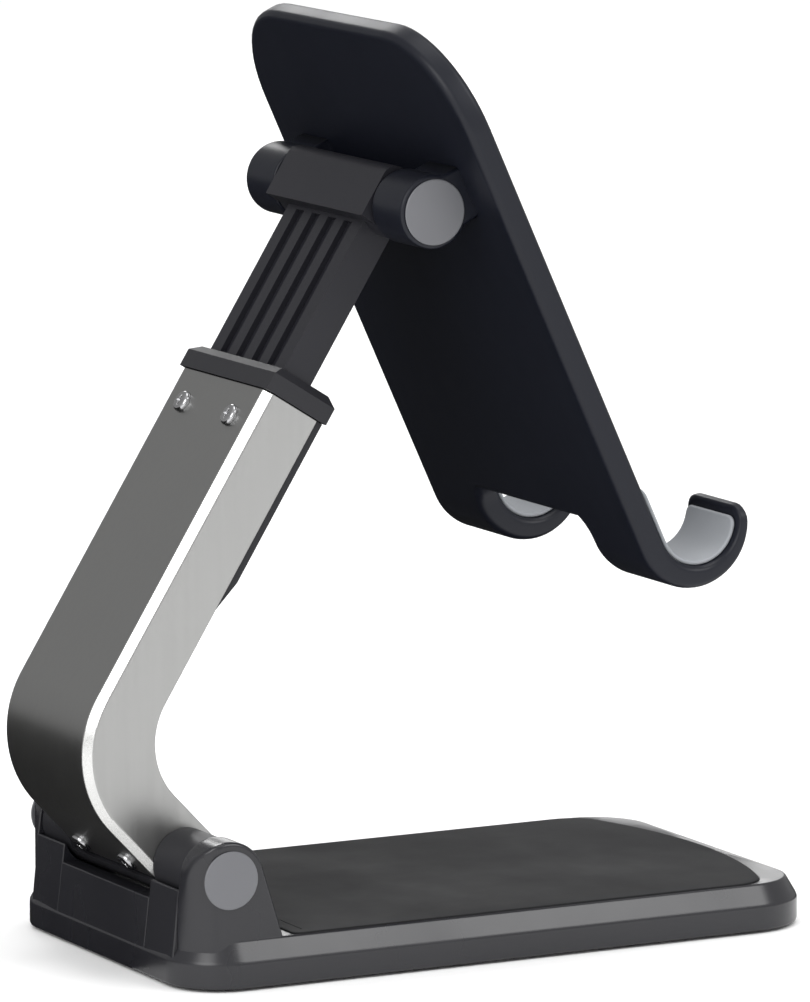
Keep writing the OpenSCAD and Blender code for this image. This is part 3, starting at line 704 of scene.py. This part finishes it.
def plate_pad_plan(inset):
    """Face-on outline of the plate's silicone pad."""
    side_gap, top_gap, reach_down = 7, 3, 50
    half = PLATE_W / 2 - side_gap - inset
    top, foot = PLATE_ABOVE - top_gap - inset, inset - reach_down
    top_r, foot_r = 14 - inset, 2 - inset * 0.5
    return (
        arc((half - top_r, top - top_r), top_r, 0, 90, 12)
        + arc((-half + top_r, top - top_r), top_r, 90, 180, 12)
        + arc((-half + foot_r, foot + foot_r), foot_r, 180, 270, 4)
        + arc((half - foot_r, foot + foot_r), foot_r, 270, 360, 4)
    )


def make_plate_pad():
    front = PLATE_REAR + PLATE_T
    face_on = plate_frame @ Matrix.Rotation(math.radians(90), 4, "X")
    sunk, proud, edge = 0.35, 0.5, 0.3
    piece = slab("plate_pad_soft", face_on, plate_pad_plan, front - sunk, front + proud, edge)
    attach(piece, "head")
    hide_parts("plate_pad")
    return piece


def lining_bend(x, down, depth):
    """Lays a strip on the inside of the J; down is measured from its upper end."""
    radius = HOOK_INNER_R - LINING_GAP
    if down <= LINING_STRAIGHT:
        return x, HOOK_INNER_Y + radius - depth, -PLATE_BELOW + LINING_STRAIGHT - down
    turn = (down - LINING_STRAIGHT) / radius
    return x, *on_circle(HOOK_INNER_Y, radius - depth, turn)


def make_hook_pad(side, name, node):
    """Soft lining inside a hook: a strip with round corners that follows the J."""
    thickness, edge, corner_r, side_gap = 0.75, 0.35, 1.6, 1.2
    columns, steps = 8, 26
    centre, half = PLATE_W / 2 - HOOK_W / 2, HOOK_W / 2 - side_gap
    length = LINING_STRAIGHT + HOOK_INNER_R * (math.pi - math.asin(LINING_DROP / HOOK_INNER_R))
    rows = [
        (y, half - corner_r + x)
        for x, y in arc((0, corner_r), corner_r - edge, -90, 0, 5)
    ]
    rows += [(corner_r + (length - 2 * corner_r) * i / steps, half - edge) for i in range(1, steps)]
    rows += [
        (length - corner_r + y, half - corner_r + x)
        for x, y in arc((0, 0), corner_r - edge, 0, 90, 5)
    ]
    flat = [
        (side * centre - reach + 2 * reach * i / columns, down)
        for down, reach in rows
        for i in range(columns + 1)
    ]
    faces = grid_faces(len(rows), columns + 1)
    piece = thick_sheet(name, plate_frame, flat, faces, thickness, edge, lining_bend)
    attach(piece, "head")
    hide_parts(node)
    return piece


# ---- Materials -------------------------------------------------------------

def grain(material, scale, stretch=(1, 1, 1), turn=(0, 0, 0), detail=4):
    """Noise over the object, in its own coordinates."""
    nodes, links = material.node_tree.nodes, material.node_tree.links
    place = nodes.new("ShaderNodeTexCoord")
    mapping = nodes.new("ShaderNodeMapping")
    mapping.inputs["Rotation"].default_value = turn
    mapping.inputs["Scale"].default_value = stretch
    noise = nodes.new("ShaderNodeTexNoise")
    noise.inputs["Scale"].default_value = scale
    noise.inputs["Detail"].default_value = detail
    links.new(place.outputs["Object"], mapping.inputs["Vector"])
    links.new(mapping.outputs["Vector"], noise.inputs["Vector"])
    return noise.outputs["Fac"]


def spread(material, fac, low, high):
    """Maps noise, which mostly lies between 0.3 and 0.7, to a range of values."""
    ramp = material.node_tree.nodes.new("ShaderNodeMapRange")
    ramp.inputs["From Min"].default_value = 0.3
    ramp.inputs["From Max"].default_value = 0.7
    ramp.inputs["To Min"].default_value = low
    ramp.inputs["To Max"].default_value = high
    material.node_tree.links.new(fac, ramp.inputs["Value"])
    return ramp.outputs["Result"]


def tint(material, fac, dark, light):
    """Mixes two colours by a noise value. A mix node's colours are sockets 6 and 7, and output 2."""
    mix = material.node_tree.nodes.new("ShaderNodeMix")
    mix.data_type = "RGBA"
    mix.inputs[6].default_value = (*dark, 1)
    mix.inputs[7].default_value = (*light, 1)
    material.node_tree.links.new(fac, mix.inputs[0])
    return mix.outputs[2]


def bump(material, height, strength, distance):
    node = material.node_tree.nodes.new("ShaderNodeBump")
    node.inputs["Strength"].default_value = strength
    node.inputs["Distance"].default_value = distance
    material.node_tree.links.new(height, node.inputs["Height"])
    return node.outputs["Normal"]


def new_material(name, color, metallic=0.0, specular=0.5, sheen=0.0):
    """A material with its constant values on the shader's own sockets."""
    material = bpy.data.materials.new(name)
    material.use_nodes = True
    material.diffuse_color = (*color, 1)
    shader = material.node_tree.nodes["Principled BSDF"]
    shader.inputs["Base Color"].default_value = (*color, 1)
    shader.inputs["Metallic"].default_value = metallic
    shader.inputs["Specular IOR Level"].default_value = specular
    shader.inputs["Sheen Weight"].default_value = sheen
    return material, shader


def moulded_plastic(name, color, roughness, specular=0.5):
    """Moulded plastic: fine spark-eroded grain, soft blotches of gloss, faint colour drift."""
    material, shader = new_material(name, color, specular=specular)
    links = material.node_tree.links
    blotch = grain(material, 45, detail=3)
    fine = grain(material, 1800, detail=2)
    darker = tuple(c * 0.88 for c in color)
    lighter = tuple(c * 1.12 for c in color)
    links.new(tint(material, blotch, darker, lighter), shader.inputs["Base Color"])
    links.new(spread(material, blotch, roughness - 0.04, roughness + 0.05), shader.inputs["Roughness"])
    links.new(bump(material, fine, 0.35, 0.00001), shader.inputs["Normal"])
    return material


def silicone(name, color, roughness=0.62):
    """Soft silicone: dusty, with a dull bloom and a very fine pebble."""
    material, shader = new_material(name, color, specular=0.06, sheen=0.01)
    links = material.node_tree.links
    blotch = grain(material, 60, detail=5)
    pebble = grain(material, 1400, detail=1)
    dusty = tuple(min(1, c * 1.25 + 0.004) for c in color)
    links.new(tint(material, blotch, color, dusty), shader.inputs["Base Color"])
    links.new(spread(material, blotch, roughness - 0.06, roughness + 0.08), shader.inputs["Roughness"])
    links.new(bump(material, pebble, 0.4, 0.00002), shader.inputs["Normal"])
    return material


def satin_metal(name, color, roughness=0.3, turn=0.0):
    """Brushed and anodised metal, its lines running along the arm."""
    material, shader = new_material(name, color, metallic=1.0)
    links = material.node_tree.links
    lines = grain(material, 1400, stretch=(1, 1, 0.03), turn=(turn, 0, 0), detail=1)
    cloud = grain(material, 30, detail=4)
    darker = tuple(c * 0.93 for c in color)
    links.new(tint(material, cloud, darker, color), shader.inputs["Base Color"])
    links.new(spread(material, lines, roughness - 0.03, roughness + 0.03), shader.inputs["Roughness"])
    links.new(bump(material, lines, 0.03, 0.000002), shader.inputs["Normal"])
    return material


def plated_steel(name, color, roughness=0.16):
    """Bright turned or plated steel with fine marks."""
    material, shader = new_material(name, color, metallic=1.0)
    links = material.node_tree.links
    marks = grain(material, 2500, detail=3)
    cloud = grain(material, 200, detail=2)
    darker = tuple(c * 0.85 for c in color)
    links.new(tint(material, cloud, darker, color), shader.inputs["Base Color"])
    links.new(spread(material, marks, roughness - 0.05, roughness + 0.1), shader.inputs["Roughness"])
    links.new(bump(material, marks, 0.1, 0.000003), shader.inputs["Normal"])
    return material


MATERIALS = {
    "base_plastic": moulded_plastic("base_plastic", (0.013, 0.013, 0.016), 0.26),
    "bottom_plastic": moulded_plastic("bottom_plastic", (0.022, 0.022, 0.025), 0.5),
    "dark_silicone": silicone("dark_silicone", (0.011, 0.011, 0.012)),
    "grey_silicone": silicone("grey_silicone", (0.235, 0.245, 0.26), 0.55),
    "foot_silicone": silicone("foot_silicone", (0.018, 0.018, 0.018)),
    "sleeve_metal": satin_metal("sleeve_metal", (0.36, 0.36, 0.355), 0.32, turn=UPPER_LEAN),
    "arm_plastic": moulded_plastic("arm_plastic", (0.016, 0.016, 0.019), 0.45, specular=0.28),
    "slider_plastic": moulded_plastic("slider_plastic", (0.013, 0.013, 0.017), 0.42, specular=0.3),
    "plate_plastic": moulded_plastic("plate_plastic", (0.006, 0.007, 0.012), 0.38, specular=0.28),
    "cap_grey": moulded_plastic("cap_grey", (0.12, 0.122, 0.132), 0.4),
    "screw_steel": plated_steel("screw_steel", (0.5, 0.5, 0.51), 0.14),
    "hinge_steel": plated_steel("hinge_steel", (0.55, 0.55, 0.56), 0.3),
    "weight_steel": plated_steel("weight_steel", (0.3, 0.3, 0.31), 0.5),
    "stop_plastic": moulded_plastic("stop_plastic", (0.75, 0.75, 0.7), 0.35),
}


def paint(piece, slot):
    piece.data.materials.clear()
    piece.data.materials.append(MATERIALS[slot])


def polish_chamfers(sleeve):
    """Bright cut metal on the two chamfers at the sleeve's rear corners, found by their slant."""
    sleeve.data.materials.append(plated_steel("cut_metal", (0.72, 0.72, 0.71), 0.28))
    for polygon in sleeve.data.polygons:
        outward = polygon.normal.x * math.copysign(1, polygon.center.x)
        if 0.6 < outward < 0.8 and polygon.normal.y > 0.2:
            polygon.material_index = 1


# ---- Pieces ----------------------------------------------------------------

made = [
    (make_base_housing(), "base_plastic"),
    (make_top_pad(), "dark_silicone"),
    (make_foot_pad(), "foot_silicone"),
    (make_sleeve(), "sleeve_metal"),
    (make_top_screws(), "screw_steel"),
    (make_foot_screws(), "screw_steel"),
    (make_plate(), "plate_plastic"),
    (make_plate_pad(), "dark_silicone"),
    (make_hook_pad(-1, "hook_lining_left", "hook_pad_left"), "grey_silicone"),
    (make_hook_pad(1, "hook_lining_right", "hook_pad_right"), "grey_silicone"),
]
for piece, slot in made:
    paint(piece, slot)
polish_chamfers(bpy.data.objects["sleeve"])

# CAD nodes that stay get their slot's material, and soft edges where they show.
SOFT_EDGES = {
    "base_bottom_plate": 0.15,
    "base_cap_left": 0.25,
    "base_cap_right": 0.25,
    "arm_front_cover": 0.35,
    "arm_collar": 0.5,
    "arm_hinge_barrel": 0.3,
    "slider_bar": 0.4,
    "head_cap_left": 0.25,
    "head_cap_right": 0.25,
}


def finish_cad_node(node, slot):
    """Gives a CAD node its material, and rounds its edges with modifiers."""
    piece = frame["nodes"][node]
    for holder in piece.material_slots:
        holder.material = MATERIALS[slot]
    if node not in SOFT_EDGES:
        return
    weld = piece.modifiers.new("weld", "WELD")
    weld.merge_threshold = 0.000002
    flat = piece.modifiers.new("flat_faces", "DECIMATE")
    flat.decimate_type = "DISSOLVE"
    flat.angle_limit = math.radians(0.8)
    round_edges(piece, SOFT_EDGES[node])


for part in frame["record"]["subparts"]:
    if not frame["nodes"][part["node"]].hide_render:
        finish_cad_node(part["node"], part["material_slot"])

# ---- Floor and light -------------------------------------------------------

def flat_sheet(name, low, high, z):
    """A level rectangle that belongs to the studio, not to the stand."""
    mesh = bpy.data.meshes.new(name)
    (x0, y0), (x1, y1) = low, high
    corners = [(x0, y0, z), (x1, y0, z), (x1, y1, z), (x0, y1, z)]
    mesh.from_pydata(corners, [], [(0, 1, 2, 3)])
    sheet = bpy.data.objects.new(name, mesh)
    scene.collection.objects.link(sheet)
    return sheet


def make_floor():
    """Plain pale floor that runs past the camera's view."""
    floor = flat_sheet("floor", (-12, -12), (12, 12), 0)
    material, shader = new_material("floor", (0.93, 0.93, 0.93), specular=0.2)
    haze = grain(material, 1.5, detail=2)
    links = material.node_tree.links
    links.new(tint(material, haze, (0.92, 0.92, 0.92), (0.94, 0.94, 0.94)), shader.inputs["Base Color"])
    shader.inputs["Roughness"].default_value = 0.7
    floor.data.materials.append(material)


def make_flag():
    """Black card beside the stand, seen only in reflections, that keeps the dark parts dark."""
    card = flat_sheet("flag", (-0.012, -2.5), (3, 2.5), 0.0004)
    material, shader = new_material("flag", (0.02, 0.02, 0.02), specular=0.0)
    shader.inputs["Roughness"].default_value = 1.0
    card.data.materials.append(material)
    card.visible_camera = False
    card.visible_diffuse = False
    card.visible_shadow = False
    card.visible_transmission = False


def make_light(name, place, size, power):
    """Round soft box aimed at the middle of the stand. Size is in metres, power in watts."""
    data = bpy.data.lights.new(name, "AREA")
    data.shape = "DISK"
    data.size = size
    data.energy = power
    light = bpy.data.objects.new(name, data)
    light.location = place
    direction = Vector((0, 0, 0.07)) - Vector(place)
    light.rotation_euler = direction.to_track_quat("-Z", "Y").to_euler()
    scene.collection.objects.link(light)


def make_world():
    """Even white light, with reflections that fade from pale on the -X side to grey on the +X side."""
    world = bpy.data.worlds.new("studio")
    world.use_nodes = True
    nodes, links = world.node_tree.nodes, world.node_tree.links
    even = nodes["Background"]
    even.inputs["Color"].default_value = (1, 1, 1, 1)
    even.inputs["Strength"].default_value = 1.0
    place = nodes.new("ShaderNodeTexCoord")
    split = nodes.new("ShaderNodeSeparateXYZ")
    fade = nodes.new("ShaderNodeMapRange")
    fade.inputs["From Min"].default_value = -1
    fade.inputs["From Max"].default_value = 1
    fade.inputs["To Min"].default_value = 1.1
    fade.inputs["To Max"].default_value = 0.42
    mirrored = nodes.new("ShaderNodeBackground")
    path = nodes.new("ShaderNodeLightPath")
    mix = nodes.new("ShaderNodeMixShader")
    links.new(place.outputs["Generated"], split.inputs["Vector"])
    links.new(split.outputs["X"], fade.inputs["Value"])
    links.new(fade.outputs["Result"], mirrored.inputs["Strength"])
    links.new(path.outputs["Is Glossy Ray"], mix.inputs["Fac"])
    links.new(even.outputs["Background"], mix.inputs[1])
    links.new(mirrored.outputs["Background"], mix.inputs[2])
    links.new(mix.outputs["Shader"], nodes["World Output"].inputs["Surface"])
    scene.world = world


make_floor()
make_flag()
make_light("key", (-1.1, -0.85, 1.25), size=0.9, power=9)
make_light("edge", (-0.8, 1.2, 0.9), size=1.1, power=12)
make_light("rim", (1.22, -0.3, 0.79), size=0.3, power=1.8)
make_light("low", (1.3, -0.69, 0.3), size=0.45, power=0.9)
make_light("top", (0.2, -0.3, 2.2), size=1.4, power=10)
make_world()
scene.view_settings.view_transform = "Standard"

bpy.context.view_layer.update()
